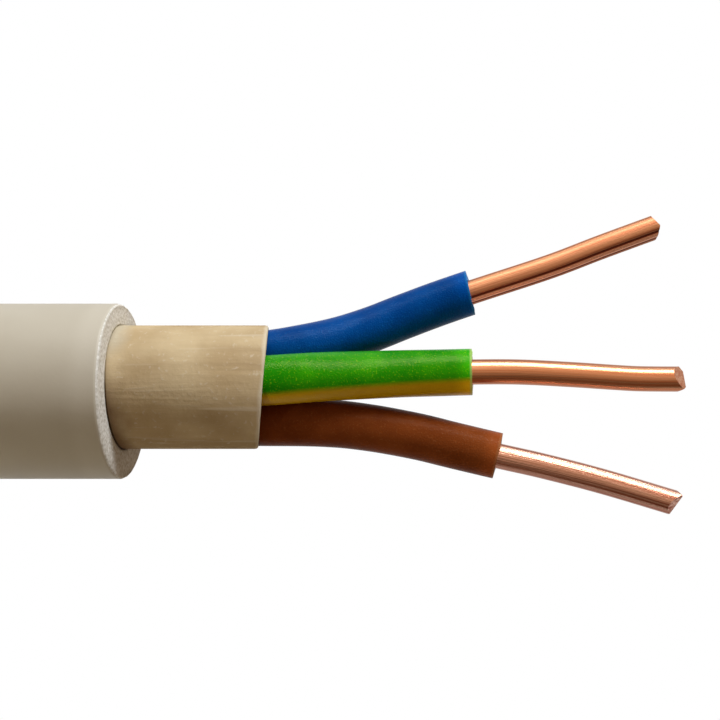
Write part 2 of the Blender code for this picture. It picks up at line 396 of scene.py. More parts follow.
class Tube:
    """A tube's rings as they are added, each vertex with its lay attribute."""

    def __init__(self, sides):
        self.shape = bmesh.new()
        self.lay = self.shape.verts.layers.float_vector.new("lay")
        self.sides = sides
        self.ring = None
        self.slot = 0

    def add(self, points, centre, aside, above, along):
        """Joins a ring of points to the last one."""
        ring = []
        for point in points:
            vertex = self.shape.verts.new(point)
            out = Vector(point) - centre
            angle = math.atan2(out.dot(above), out.dot(aside))
            vertex[self.lay] = (math.cos(angle), math.sin(angle), 1000 * along)
            ring.append(vertex)
        if self.ring:
            for i in range(self.sides):
                j = (i + 1) % self.sides
                face = self.shape.faces.new((self.ring[i], self.ring[j], ring[j], ring[i]))
                face.material_index = self.slot
                face.smooth = True
        self.ring = ring

    def cap(self):
        face = self.shape.faces.new(self.ring)
        face.material_index = self.slot

    def piece(self, name, *materials):
        bmesh.ops.recalc_face_normals(self.shape, faces=self.shape.faces)
        mesh = bpy.data.meshes.new(name)
        self.shape.to_mesh(mesh)
        self.shape.free()
        for material in materials:
            mesh.materials.append(material)
        return link_piece(name, mesh)


def distances(route):
    steps = np.linalg.norm(np.diff(np.array(route), axis=0), axis=1)
    return np.concatenate([[0.0], np.cumsum(steps)])


# %% [markdown]
# ## The route of the cable
#
# The ring is wound in five flat layers of five turns, from the top layer down. The first layer
# runs outwards, the next inwards, and so on, so the lowest one ends outside, where the tail
# leaves. Every turn runs true to its circle except in one sector, where it steps over to its
# next place. A turn that steps down a layer swells out there to pass its neighbours, as the
# humps on a real ring do. The route is worked out by a loop, one turn after another. Over the
# last millimetre before the outer cut the sheath's colour is made a little paler.

# %% Work out the cable's route
STEP_STARTS = math.radians(10)  # the sector where turns step over, as an angle
STEP_ENDS = math.radians(80)  # past the place where the tail leaves
HUMP = 0.43  # how far a turn swells as it steps down a layer, as a share of the pitch
HUMP_LEADS = 0.2  # how far the swelling reaches past the sector, as a share of it
RING_SPACING = 0.0043  # between the swept rings of the cable
TAIL_SETTLES = 0.045  # the length in which the tail comes down to the floor
EDGE_ROUND = 0.00060  # how far before its cut the plain tube ends


def ease(share):
    share = min(max(share, 0.0), 1.0)
    return share * share * (3 - 2 * share)


def place_of(turn):
    """The radius and height of a turn, counted from the inner top one."""
    row, along = divmod(turn, TURNS_ACROSS)
    column = along if row % 2 == 0 else TURNS_ACROSS - 1 - along
    radius = OUTER_TURN - (TURNS_ACROSS - 1 - column) * TURN_PITCH
    return radius, LOWEST_ROW + (TURNS_HIGH - 1 - row) * TURN_PITCH


def winding_point(angle):
    """The centreline at an angle wound since the start of the first turn's circle."""
    turn, past_exit = divmod(angle, math.tau)
    turn = int(turn)
    radius, height = place_of(turn)
    share = (past_exit - STEP_STARTS) / (STEP_ENDS - STEP_STARTS)
    if turn > 0 and share < 1 + HUMP_LEADS:
        old_radius, old_height = place_of(turn - 1)
        stepped = ease(share)
        hump = 0.0
        if abs(old_height - height) > TURN_PITCH / 2:
            outwards = 1 if radius > OUTER_TURN - TURN_PITCH else -1
            swell = ease((share + HUMP_LEADS) / (2 * HUMP_LEADS))
            swell *= ease((1 + HUMP_LEADS - share) / (2 * HUMP_LEADS))
            hump = outwards * HUMP * TURN_PITCH * swell
        radius = old_radius + (radius - old_radius) * stepped + hump
        height = old_height + (height - old_height) * stepped
    facing = math.pi / 2 - past_exit
    return (
        COIL_CENTRE.x + radius * math.cos(facing),
        COIL_CENTRE.y + radius * math.sin(facing),
        height,
    )


def winding():
    """The wound length, from the inner end at the top to where the tail leaves."""
    turns = TURNS_ACROSS * TURNS_HIGH
    angle, end = STEP_ENDS, turns * math.tau
    points = []
    while angle < end - 0.5 * RING_SPACING / OUTER_TURN:
        points.append(winding_point(angle))
        angle += RING_SPACING / place_of(int(angle // math.tau))[0]
    return points


def tail():
    """The straight length, which settles from the lowest layer onto the floor."""
    length = SHEATH_CUT.x - EDGE_ROUND - COIL_CENTRE.x
    count = round(length / RING_SPACING)
    points = []
    for i in range(count + 1):
        along = length * i / count
        height = LOWEST_ROW + (SHEATH_CUT.z - LOWEST_ROW) * ease(along / TAIL_SETTLES)
        points.append((COIL_CENTRE.x + along, SHEATH_CUT.y, height))
    return points


cable_route = winding() + tail()
CABLE_LENGTH = float(distances(cable_route)[-1])
# The sheath's colour is made a little paler over the last millimetre before the outer cut.
whiten_near_cut(SHEATH, CABLE_LENGTH, over_mm=1.0, share=0.3, tone=(0.78, 0.73, 0.62))
print(f"the route has {len(cable_route)} points and is {CABLE_LENGTH:.3f} m long")

# %% [markdown]
# ## The sheath in one length
#
# The swept tube is closed by hand at both ends. At the outer end a soft lip swells by a few
# thousandths of a millimetre, the cut rounds over, crosses the face and goes back down the bore,
# which is not quite round after the knife. The inner end, in the bore of the coil, is a plain
# square cut.

# %% Sweep the sheath and finish its ends
CABLE_SIDES = 40
BEDDING_RADIUS = 0.00325
BEDDING_OFFSET = 0.00021  # how far it lies off the sheath's middle, away from the coil
BORE_ROOM = 0.00005  # the gap all round the bedding at the cut face
GAP_ABOVE = 0.00006  # how much wider the gap round the bedding is on its upper side
BORE_DEPTH = 0.0095  # how far back the bore at the outer end reaches
INNER_BORE = 0.0012  # how deep the bore at the inner end is
INNER_ROOM = 0.00004  # and the gap round its bedding
FACE_ROUGHNESS = 0.00003
FACE_STANDS = 0.00022  # how far the cut face stands past the model's cut
FACE_LEANS = 0.00011  # and how much less on the side away from the coil
LIP_STANDS = 0.00004  # where the cut begins
LIP_LEANS = 0.00012
LIP_SWELLS = 0.000005
SHOULDER_ROUND = 0.00012
LIP_PROFILE = ((-2.0, 0.0), (-1.2, 0.3), (-0.5, 0.8), (0.0, 1.0), (0.15, 0.7))  # place, swelling
SHOULDER_STEPS = (15, 35, 55, 72, 84)  # degrees round the shoulder's quarter circle
FRESH_PAST = 40  # from this step on the plastic is freshly cut
FACE_SHARES = (0.0, 0.25, 0.5, 0.75, 0.92)  # of the way across the face, from rim to bore


def wobble(angle, waves, seed):
    """A smooth uneven value round a circle, from about -1 to 1, that repeats each run."""
    total = sum(
        math.sin(k * angle + seed * (k + 1.7)) / (k**0.5) for k in range(2, 2 + waves)
    )
    return total / (waves**0.5)


def add_sheath_cut(tube, rings, route, along):
    """The outer end: a soft lip, a rounded shoulder, the granular face and the bore."""
    heading, aside, above = frame_at(route, len(route) - 1)
    centre = Vector(route[-1]) + heading * EDGE_ROUND
    bore_shift = aside * BEDDING_OFFSET
    outs = [(Vector(p) - Vector(route[-1])).normalized() for p in rings[-1]]
    turns = [math.atan2(out.dot(above), out.dot(aside)) for out in outs]

    def ring(share_of_cut, radius, shift, uneven=0.0, seed=1.0, gap=0.0):
        points = []
        for out, turn in zip(outs, turns):
            face = FACE_STANDS - FACE_LEANS * math.cos(turn)
            lip = LIP_STANDS - LIP_LEANS * math.cos(turn)
            place = lip + (face - lip) * share_of_cut + uneven * wobble(turn, waves=7, seed=seed)
            # The swelling fades out towards the underside, which lies on the floor.
            proud = max(radius - SHEATH_RADIUS, 0.0) * min(1.0 + math.sin(turn), 1.0)
            reach = min(radius, SHEATH_RADIUS) + proud + gap * max(math.sin(turn), 0.0)
            points.append(centre + shift + heading * place + out * reach)
        tube.add(points, centre + shift, aside, above, along)

    for share, swell in LIP_PROFILE:
        ring(share, SHEATH_RADIUS + swell * LIP_SWELLS, Vector())
    for step in SHOULDER_STEPS:
        tube.slot = 1 if step > FRESH_PAST else 0
        turn = math.radians(step)
        fall = SHOULDER_ROUND * (1 - math.cos(turn))
        uneven = 0.15 * FACE_ROUGHNESS
        ring(math.sin(turn), SHEATH_RADIUS - fall, Vector(), uneven=uneven, seed=step)
    rim = SHEATH_RADIUS - SHOULDER_ROUND
    bore = BEDDING_RADIUS + BORE_ROOM
    for share in FACE_SHARES:
        reach, shift, gap = rim + (bore - rim) * share, bore_shift * share, GAP_ABOVE * share
        ring(1.0, reach, shift, uneven=FACE_ROUGHNESS, seed=3 + 5 * share, gap=gap)
    edge = bore - 0.3 * BORE_ROOM
    ring(0.9, edge, bore_shift, uneven=FACE_ROUGHNESS, seed=9, gap=GAP_ABOVE)
    ring(0.5, bore, bore_shift, gap=GAP_ABOVE)
    points = [centre - heading * BORE_DEPTH + bore_shift + out * bore for out in outs]
    tube.add(points, centre, aside, above, along - BORE_DEPTH)
    tube.cap()


def make_cable():
    rings = swept_rings(cable_route, SHEATH_RADIUS, CABLE_SIDES, SHEATH)
    gaps = distances(cable_route)
    tube = Tube(CABLE_SIDES)
    tube.slot = 1
    heading, aside, above = frame_at(cable_route, 0)
    start = Vector(cable_route[0])
    outs = [(Vector(p) - start).normalized() for p in rings[0]]
    bore = BEDDING_RADIUS + INNER_ROOM
    face_middle = 0.6 * bore + 0.4 * SHEATH_RADIUS
    for depth, radius in ((INNER_BORE, bore), (0.0, bore), (0.0, face_middle)):
        points = [start + heading * depth + out * radius for out in outs]
        tube.add(points, start, aside, above, 0.0)
        if depth:
            tube.cap()
    for i, ring in enumerate(rings):
        heading, aside, above = frame_at(cable_route, i)
        tube.add(ring, Vector(cable_route[i]), aside, above, gaps[i])
        tube.slot = 0
    add_sheath_cut(tube, rings, cable_route, gaps[-1])
    return tube.piece("cable_sheath", SHEATH, SHEATH_FACE)


cable = make_cable()
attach(cable, "root")
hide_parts("cable_coil", "cable_tail")
print("sheath:", len(cable.data.polygons), "faces")

# %% [markdown]
# ## The bedding
#
# Round the cores lies a soft beige filler, matt as chalk. Its cut leans, because it was torn
# back rather than sawn, and the edge of its end is a little paler. Close to the sheath's face the
# stripping has left pale marks on the side of the lamp; on the other side the sheath's shadow is
# painted dark, and a thin painted shadow line shows where the filler goes into the bore. The cores
# come out of three holes that follow them, so the shape is a plug with the three routes cut out of
# it.

# %% The routes of the three cores
CORE_RADIUS = 0.001275
CONDUCTOR_RADIUS = 0.00069
CORE_ROOM = 0.00002  # between a core and the bedding
WIRE_ROOM = 0.00002  # between a wire and its insulation
LAYERS_REACH_BACK = 0.009  # into the sheath, from its cut
ROUTE_STEP = 0.0003
CORES = {
    "blue": {
        "insulation_ends": 0.01893,
        "conductor_ends": 0.02945,
        "route_mm": [
            (-10, 1.88, -0.60), (5, 1.88, -0.60), (7.5, 1.94, -0.65), (9.5, 2.27, -1.10),
            (11.5, 2.75, -2.00), (13.3, 3.35, -2.60), (15.0, 4.03, -3.00), (17.0, 4.79, -3.22),
            (19.0, 5.48, -3.30), (23.5, 6.96, -3.30), (26.3, 8.03, -3.30), (29.6, 9.24, -3.30),
        ],
    },
    "green_yellow": {
        "insulation_ends": 0.01880,
        "conductor_ends": 0.03040,
        "route_mm": [
            (-10, 0.56, 1.80), (5, 0.56, 1.80), (7.7, 0.59, 1.78), (9.7, 0.72, 1.45),
            (11.2, 0.79, 0.75), (13.0, 0.84, -0.20), (15.1, 0.90, -1.00), (17.1, 0.94, -1.40),
            (18.8, 0.98, -1.60), (21.3, 0.98, -1.62), (24.2, 0.84, -1.62), (26.8, 0.67, -1.62),
            (28.0, 0.61, -1.62), (30.6, 0.59, -1.62),
        ],
    },
    "brown": {
        "insulation_ends": 0.02024,
        "conductor_ends": 0.02990,
        "route_mm": [
            (-10, -1.61, 0.00), (5, -1.61, 0.00), (7.5, -1.63, -0.02), (10.0, -1.69, -0.40),
            (11.6, -1.81, -0.80), (12.7, -1.96, -1.10), (14.0, -2.18, -1.35), (16.0, -2.59, -1.60),
            (17.7, -3.02, -1.72), (20.2, -3.62, -1.80), (22.6, -4.16, -1.80), (25.9, -5.01, -1.80),
            (30.1, -6.26, -1.80),
        ],
    },
}


def value_along(route, along, column):
    """The route's value at a distance along it, on a smooth curve through its points."""
    last = len(route) - 2
    i = max(k for k in range(last + 1) if k == 0 or route[k][0] <= along)
    before, here, there, after = (route[min(max(k, 0), last + 1)] for k in range(i - 1, i + 3))
    span = there[0] - here[0]
    share = (along - here[0]) / span
    slope_here = span * (there[column] - before[column]) / max(there[0] - before[0], span)
    slope_there = span * (after[column] - here[column]) / max(after[0] - here[0], span)
    return (
        here[column] * (1 + 2 * share) * (1 - share) ** 2
        + slope_here * share * (1 - share) ** 2
        + there[column] * share**2 * (3 - 2 * share)
        + slope_there * share**2 * (share - 1)
    )


def core_route(core, start, end, step=ROUTE_STEP):
    """Points of a core's centreline between two distances past the sheath's cut."""
    route = [tuple(value / 1000 for value in point) for point in core["route_mm"]]
    count = max(round((end - start) / step), 2)
    points = []
    for i in range(count + 1):
        along = start + (end - start) * i / count
        aside, above = value_along(route, along, 1), value_along(route, along, 2)
        points.append(tuple(SHEATH_CUT + Vector((along, aside, above))))
    return points


print("cores:", ", ".join(CORES))

# %% The bedding's finish
BEDDING_TONES = ((0.55, 0.40, 0.22), (0.69, 0.54, 0.325))
BEDDING_STREAK = (0.47, 0.33, 0.18)
BEDDING_SCRATCH = (0.76, 0.66, 0.50)
BEDDING_SPECK = (0.76, 0.67, 0.51)
STRIPPED_PALE = (0.62, 0.585, 0.47)
# A painted shadow of the sheath on the filler, on the side away from the lamp.
PAINTED_SHEATH_SHADOW = (0.19, 0.10, 0.045)
# A painted shadow line where the filler goes into the bore.
PAINTED_GAP_SHADOW = (0.06, 0.035, 0.015)
# A paler tone for the edge of the filler's end.
PALE_END_TONE = (0.80, 0.71, 0.55)
PALE_END_MM = (7.36, 7.52)  # where the paler edge of its end begins, and is full
STRIP_MARK_AND_SHADOW_MM = 0.95  # how far the pale marks of stripping and the painted shadow of the sheath reach from the sheath's cut face
PAINTED_GAP_SHADOW_MM = 0.05  # the width of the painted shadow line at the bore


def make_bedding_finish():
    material, tree, surface = new_material("bedding beige", Roughness=0.8)
    grain = use_group(tree, GRAIN, Scale=4200.0, Coarse_Scale=420.0)
    lengthwise = use_group(tree, LENGTHWISE, Round=6.0, Along=0.16)
    lampwards, _, along = lay_of(tree)
    tone = spread(tree, grain.outputs["Blotches"], 0.35, 0.65)
    colour = blend_colours(tree, tone, *BEDDING_TONES)
    streak = spread(tree, lengthwise.outputs["Streaks"], 0.45, 0.62, 0.0, 0.75)
    colour = blend_colours(tree, streak, colour, BEDDING_STREAK)
    scratch = spread(tree, lengthwise.outputs["Height"], 0.6, 0.68, 0.0, 0.4)
    colour = blend_colours(tree, scratch, colour, BEDDING_SCRATCH)
    speck = spread(tree, grain.outputs["Height"], 0.6, 0.72, 0.0, 0.5)
    colour = blend_colours(tree, speck, colour, BEDDING_SPECK)

    ragged = spread(tree, grain.outputs["Blotches"], 0.3, 0.7, -0.35, 0.35)
    past_face = math_of(tree, "ADD", along, times(tree, lampwards, 1000 * FACE_LEANS))
    past_face = math_of(tree, "SUBTRACT", past_face, 1000 * FACE_STANDS)
    near_face = math_of(tree, "ADD", past_face, ragged)
    near_face = spread(tree, near_face, 0.1, STRIP_MARK_AND_SHADOW_MM, 1.0, 0.0)
    pale = times(tree, near_face, spread(tree, lampwards, 0.35, 0.75), 0.6)
    colour = blend_colours(tree, pale, colour, STRIPPED_PALE)
    # Painted shadow of the sheath on the filler, on the side away from the lamp.
    dark = times(tree, near_face, spread(tree, lampwards, 0.5, -0.3), 0.75)
    colour = blend_colours(tree, dark, colour, PAINTED_SHEATH_SHADOW)
    # A thin painted shadow line where the filler goes into the bore, fainter on the lamp's side.
    line = math_of(tree, "ADD", past_face, times(tree, lampwards, 0.025))
    line = spread(tree, line, 0.0, PAINTED_GAP_SHADOW_MM, 0.85, 0.0)
    line = times(tree, line, spread(tree, lampwards, -0.1, 0.5, 1.0, 0.15))
    colour = blend_colours(tree, line, colour, PAINTED_GAP_SHADOW)
    pale_end = math_of(tree, "ADD", along, times(tree, ragged, 0.4))
    colour = blend_colours(tree, spread(tree, pale_end, *PALE_END_MM, 0.0, 0.7), colour, PALE_END_TONE)

    dress(tree, surface, {"Base Color": colour, "Specular IOR Level": 0.2})
    fine = times(tree, grain.outputs["Height"], 0.4)
    height = math_of(tree, "ADD", fine, lengthwise.outputs["Height"])
    bump(tree, surface, height, depth=0.00007, strength=0.7)
    return material


BEDDING = make_bedding_finish()
print("material:", BEDDING.name)

# %% Build the bedding and cut the cores' ways through it
BEDDING_SIDES = 96
BEDDING_SHOWS = 0.00756
BEDDING_LEAN_ASIDE = 0.085
BEDDING_LEAN_UP = 0.10
BEDDING_EDGE = 0.00009
BEDDING_UNEVEN = 0.00002
WAY_SIDES = 32
WAY_STEP = 0.0006
WAY_STARTS = -LAYERS_REACH_BACK - 0.001
WAY_ENDS = 0.012
SHARP_BEND = math.radians(35)  # an edge of a cut piece that bends more than this is sharp


def ring_points(centre, heading, aside, above, radius, sides, push=None):
    points = []
    for i in range(sides):
        turn = math.tau * i / sides
        out = math.cos(turn) * aside + math.sin(turn) * above
        further = push(turn, radius) if push else 0.0
        points.append(centre + radius * out + heading * further)
    return points


def cut_holes(piece, holes):
    """Takes the holes out of a piece, which leaves a plain mesh, and then removes them."""
    for hole in holes:
        cut = piece.modifiers.new(hole.name, "BOOLEAN")
        cut.operation = "DIFFERENCE"
        cut.solver = "EXACT"
        cut.object = hole
    plain_mesh(piece)
    for hole in holes:
        bpy.data.objects.remove(hole)


def make_way(name, core):
    """A round cutter that follows a core's route."""
    route = core_route(core, WAY_STARTS, WAY_ENDS, WAY_STEP)
    way = Tube(WAY_SIDES)
    for i, ring in enumerate(swept_rings(route, CORE_RADIUS + CORE_ROOM, WAY_SIDES, BEDDING)):
        _, side, up = frame_at(route, i)
        way.add(ring, Vector(route[i]), side, up, 0.0)
        if i == 0:
            way.cap()
    way.cap()
    return way.piece("way for " + name, BEDDING)


def make_bedding():
    heading, aside, above = Vector((1, 0, 0)), Vector((0, 1, 0)), Vector((0, 0, 1))
    axis = SHEATH_CUT + aside * BEDDING_OFFSET

    def lean(turn, radius):
        sideways = BEDDING_LEAN_ASIDE * math.cos(turn) + BEDDING_LEAN_UP * math.sin(turn)
        return radius * sideways + BEDDING_UNEVEN * wobble(turn, waves=9, seed=4.0)

    stations = (
        (-LAYERS_REACH_BACK, BEDDING_RADIUS, None),
        (0.0, BEDDING_RADIUS, None),
        (0.5 * BEDDING_SHOWS, BEDDING_RADIUS, None),
        (BEDDING_SHOWS - 2 * BEDDING_EDGE, BEDDING_RADIUS, lean),
        (BEDDING_SHOWS - 0.6 * BEDDING_EDGE, BEDDING_RADIUS - 0.2 * BEDDING_EDGE, lean),
        (BEDDING_SHOWS, BEDDING_RADIUS - BEDDING_EDGE, lean),
    )
    tube = Tube(BEDDING_SIDES)
    for along, radius, push in stations:
        centre = axis + heading * along
        points = ring_points(centre, heading, aside, above, radius, BEDDING_SIDES, push)
        tube.add(points, centre, aside, above, along)
        if along == -LAYERS_REACH_BACK:
            tube.cap()
    tube.cap()
    bedding = tube.piece("bedding_filler", BEDDING)
    cut_holes(bedding, [make_way(name, core) for name, core in CORES.items()])
    bedding.data.shade_smooth()
    bedding.data.set_sharp_from_angle(angle=SHARP_BEND)
    return bedding


bedding = make_bedding()
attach(bedding, "root")
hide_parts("bedding")
print("bedding:", len(bedding.data.polygons), "faces")

# %% [markdown]
# ## Insulation
#
# Each core is a tight tube of glossy PVC. Blue and brown are one colour through. The earth core
# is green with a yellow stripe along it, which is part of the plastic and so goes through to the
# cut. The stripe reads the angle round the core from the lay attribute, and drifts with it.

# %% Insulation finishes
STRIPE_ANGLE = math.radians(198.9)  # where the stripe's middle is at the start of the core
STRIPE_DRIFT = math.radians(-1.29)  # how it drifts round the core, for each millimetre along it
STRIPE_HALF = math.radians(55)
STRIPE_EDGE = 0.17  # how far its edge blends to either side, in radians
STRIPE_YELLOW = (0.67, 0.38, 0.005)


def make_insulation(name, dark, light, pale, gloss, tint):
    """A finish with two tones of its colour, pale specks painted as glints, and a tinted gloss."""
    material, tree, surface = new_material("insulation " + name)
    grain = use_group(tree, GRAIN, Scale=11000.0, Coarse_Scale=600.0)
    lengthwise = use_group(tree, LENGTHWISE, Round=5.0, Along=0.2)
    tone = spread(tree, grain.outputs["Blotches"], 0.35, 0.65)
    colour = blend_colours(tree, tone, dark, light)
    # The pale specks are painted glints, standing for the sparkle of the gloss.
    speck = spread(tree, grain.outputs["Height"], 0.58, 0.68, 0.0, 0.35)
    colour = blend_colours(tree, speck, colour, pale)
    rub = spread(tree, grain.outputs["Height"], 0.4, 0.62, 0.26, 0.1)
    dress(tree, surface, {"Base Color": colour, "Roughness": rub})
    dress(tree, surface, {"Specular IOR Level": gloss, "Specular Tint": tint})
    streaks = times(tree, lengthwise.outputs["Height"], 0.15)
    height = math_of(tree, "ADD", grain.outputs["Height"], streaks)
    bump(tree, surface, height, depth=0.000032, strength=0.8)
    return material


def add_stripe(material):
    """Lays the yellow stripe over the green, by the angle round the core."""
    tree = material.node_tree
    surface = tree.nodes["Principled BSDF"]
    green = surface.inputs["Base Color"].links[0].from_socket
    cosine, sine, along = lay_of(tree)
    angle = math_of(tree, "ARCTAN2", sine, cosine)
    centre = math_of(tree, "ADD", times(tree, along, STRIPE_DRIFT), STRIPE_ANGLE)
    off = math_of(tree, "SUBTRACT", angle, centre)
    off = math_of(tree, "ABSOLUTE", math_of(tree, "WRAP", off, math.pi, -math.pi))
    edge = (STRIPE_HALF - STRIPE_EDGE, STRIPE_HALF + STRIPE_EDGE)
    stripe = spread(tree, off, *edge, 1.0, 0.0, smooth=True)
    dress(tree, surface, {"Base Color": blend_colours(tree, stripe, green, STRIPE_YELLOW)})


FINISHES = {
    "blue": make_insulation(
        "blue",
        dark=(0.0004, 0.056, 0.27),
        light=(0.0008, 0.074, 0.33),
        pale=(0.01, 0.16, 0.52),
        gloss=0.055,
        tint=(0.45, 0.75, 1.0),
    ),
    "brown": make_insulation(
        "brown",
        dark=(0.19, 0.041, 0.008),
        light=(0.235, 0.054, 0.011),
        pale=(0.36, 0.12, 0.04),
        gloss=0.038,
        tint=(1.0, 0.72, 0.5),
    ),
    "green_yellow": make_insulation(
        "green and yellow",
        dark=(0.008, 0.27, 0.001),
        light=(0.036, 0.375, 0.0015),
        pale=(0.42, 0.76, 0.01),
        gloss=0.17,
        tint=(1.0, 0.88, 0.28),
    ),
}
add_stripe(FINISHES["green_yellow"])
print("materials:", ", ".join(material.name for material in FINISHES.values()))

# %% [markdown]
# ## The insulation tubes
#
# A stripper bites round the plastic and pulls, so each tube ends straight across, a little
# farther back at its top, with an edge that is uneven by a few hundredths of a millimetre. Each
# tube's colour is made lighter over its last 1.4 mm, and a thin rim at the cut has a painted
# highlight, where the edge catches the light.

# %% Make the three tubes of insulation
CORE_SIDES = 48
END_LEANS = {  # how far the cut leans forward to the side and to the top, as a slope
    "blue": (0.10, -0.17),
    "green_yellow": (0.0, -0.21),
    "brown": (0.0, -0.20),
}
PAINTED_RIM_HIGHLIGHTS = {  # the painted highlight of each cut edge, where it catches the light
    "blue": (0.02, 0.24, 0.62),
    "green_yellow": (0.62, 0.80, 0.25),
    "brown": (0.40, 0.16, 0.06),
}
END_ROUND = 0.00003
RIM_RAGGED = 0.00003
RIM_HIGHLIGHT_MM = 0.14  # the length of the painted rim highlight
RIM_HIGHLIGHT_SHARE = 0.6
END_LIGHTENS_MM = 1.4  # the length over which the end is lighter
END_LIGHTER = (1.55, 1.55, 1.6)
LEANS_OVER = 0.0012  # the length in which a tube takes on the lean of its end
BORE_STRIDE = 3  # the bore has one ring for so many on the outside
TUBE_SHARP_BEND = math.radians(50)


def end_lean(core_name, out, aside, above):
    """How far the cut stands forward at one place round the tube."""
    lean_aside, lean_up = END_LEANS[core_name]
    return CORE_RADIUS * (lean_aside * out.dot(aside) + lean_up * out.dot(above))


def add_core_end(tube, core_name, rings, route, along):
    """The end of a tube of insulation: its edge, its face and its bore, back to the start."""
    heading, aside, above = frame_at(route, len(route) - 1)
    centre = Vector(route[-1])
    outs = [(Vector(p) - centre).normalized() for p in rings[-1]]
    bore = CONDUCTOR_RADIUS + WIRE_ROOM
    profile = (  # how far forward, in edge rounds, and how far out
        (1.0, CORE_RADIUS),
        (1.4, CORE_RADIUS - 0.1 * END_ROUND),
        (1.8, CORE_RADIUS - 0.4 * END_ROUND),
        (2.0, CORE_RADIUS - END_ROUND),
        (2.0, (CORE_RADIUS + bore) / 2),
        (1.9, bore),
    )
    for step, radius in profile:
        points = []
        for out in outs:
            turn = math.atan2(out.dot(above), out.dot(aside))
            uneven = wobble(turn, waves=11, seed=len(core_name))
            ragged = (step - 1) * RIM_RAGGED * uneven
            push = step * END_ROUND + ragged + end_lean(core_name, out, aside, above)
            points.append(centre + heading * push + out * radius)
        tube.add(points, centre, aside, above, along)


def make_core(name, core, material):
    route = core_route(core, -LAYERS_REACH_BACK, core["insulation_ends"] - 2 * END_ROUND)
    rings = swept_rings(route, CORE_RADIUS, CORE_SIDES, material)
    gaps = distances(route)
    tube = Tube(CORE_SIDES)
    for i, ring in enumerate(rings):
        heading, aside, above = frame_at(route, i)
        centre = Vector(route[i])
        leans = ease(1 - (gaps[-1] - gaps[i]) / LEANS_OVER)
        points = []
        for point in ring:
            out = (Vector(point) - centre).normalized()
            points.append(Vector(point) + heading * leans * end_lean(name, out, aside, above))
        tube.add(points, centre, aside, above, gaps[i])
        if i == 0:
            first = tube.ring
    add_core_end(tube, name, rings, route, gaps[-1])
    share = (CONDUCTOR_RADIUS + WIRE_ROOM) / CORE_RADIUS
    for i in list(range(len(rings) - 2, 0, -BORE_STRIDE)) + [0]:
        _, aside, above = frame_at(route, i)
        centre = Vector(route[i])
        points = [centre + (Vector(p) - centre) * share for p in rings[i]]
        tube.add(points, centre, aside, above, gaps[i])
    for i in range(CORE_SIDES):
        j = (i + 1) % CORE_SIDES
        tube.shape.faces.new((tube.ring[i], tube.ring[j], first[j], first[i]))
    whiten_near_cut(material, gaps[-1], END_LIGHTENS_MM, 1.0, END_LIGHTER, "MULTIPLY")
    # A painted highlight on the cut rim, where the edge catches the light.
    whiten_near_cut(material, gaps[-1], RIM_HIGHLIGHT_MM, RIM_HIGHLIGHT_SHARE, PAINTED_RIM_HIGHLIGHTS[name])
    piece = tube.piece("insulation_tube_" + name, material)
    piece.data.set_sharp_from_angle(angle=TUBE_SHARP_BEND)
    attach(piece, "root")
    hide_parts("insulation_" + name)
    return piece


for core_name, core in CORES.items():
    tube_piece = make_core(core_name, core, FINISHES[core_name])
    print(tube_piece.name, len(tube_piece.data.polygons), "faces")

# %% [markdown]
# ## Copper
#
# The conductors are single drawn wires. Drawing leaves fine lines along them, so the highlight is
# broken lengthwise, and the colour is the fresh pink of clean copper. On the blue core's wire the
# die has cut two grooves; their shade is painted dark, and the ridges between them have painted
# highlights.

# %% The copper's finish
# A painted shade in the die's grooves.
GROOVE_SHADE_TONE = (0.11, 0.018, 0.01)
# A painted highlight on the ridges between the grooves.
RIDGE_HIGHLIGHT_TONE = (1.0, 0.53, 0.35)
GROOVES = {  # the marks of the drawing die: middle and width in degrees, and depth
    "blue": ((115, 11, 0.00005), (152, 8, 0.00004)),
    "green_yellow": (),
    "brown": (),
}
RIDGE_HIGHLIGHTS = {  # painted highlights between the grooves: middle and width in degrees
    "blue": ((128, 10), (140, 7)),
    "green_yellow": (),
    "brown": (),
}
BAND_FADES = (0.4, 0.65)  # where the painted shade of a groove or the painted highlight of a ridge begins to fade and ends, in its widths
BAND_SHARE = 0.92


def make_copper(name, core_name, dark, light, roughness, depth):
    """Drawn copper with two tones, a range of roughness and a depth of its lines."""
    material, tree, surface = new_material("drawn copper " + name, Metallic=1.0)
    lengthwise = use_group(tree, LENGTHWISE, Round=13.0, Along=0.12)
    grain = use_group(tree, GRAIN, Scale=6500.0, Coarse_Scale=1500.0)
    tone = spread(tree, lengthwise.outputs["Streaks"], 0.35, 0.65)
    colour = blend_colours(tree, tone, dark, light)
    cosine, sine, _ = lay_of(tree)
    angle = math_of(tree, "ARCTAN2", sine, cosine)
    # Painted highlights on the ridges and painted shade in the die's grooves.
    bands = [(middle, width, RIDGE_HIGHLIGHT_TONE) for middle, width in RIDGE_HIGHLIGHTS[core_name]]
    bands += [(middle, width, GROOVE_SHADE_TONE) for middle, width, _ in GROOVES[core_name]]
    for middle, width, tint in bands:
        off = math_of(tree, "ABSOLUTE", math_of(tree, "SUBTRACT", angle, math.radians(middle)))
        edges = [math.radians(share * width) for share in BAND_FADES]
        colour = blend_colours(tree, spread(tree, off, *edges, BAND_SHARE, 0.0), colour, tint)
    rub = spread(tree, lengthwise.outputs["Height"], 0.3, 0.7, *roughness)
    dress(tree, surface, {"Base Color": colour, "Roughness": rub})
    height = math_of(tree, "ADD", lengthwise.outputs["Height"], grain.outputs["Height"])
    bump(tree, surface, height, depth, strength=0.7)
    return material


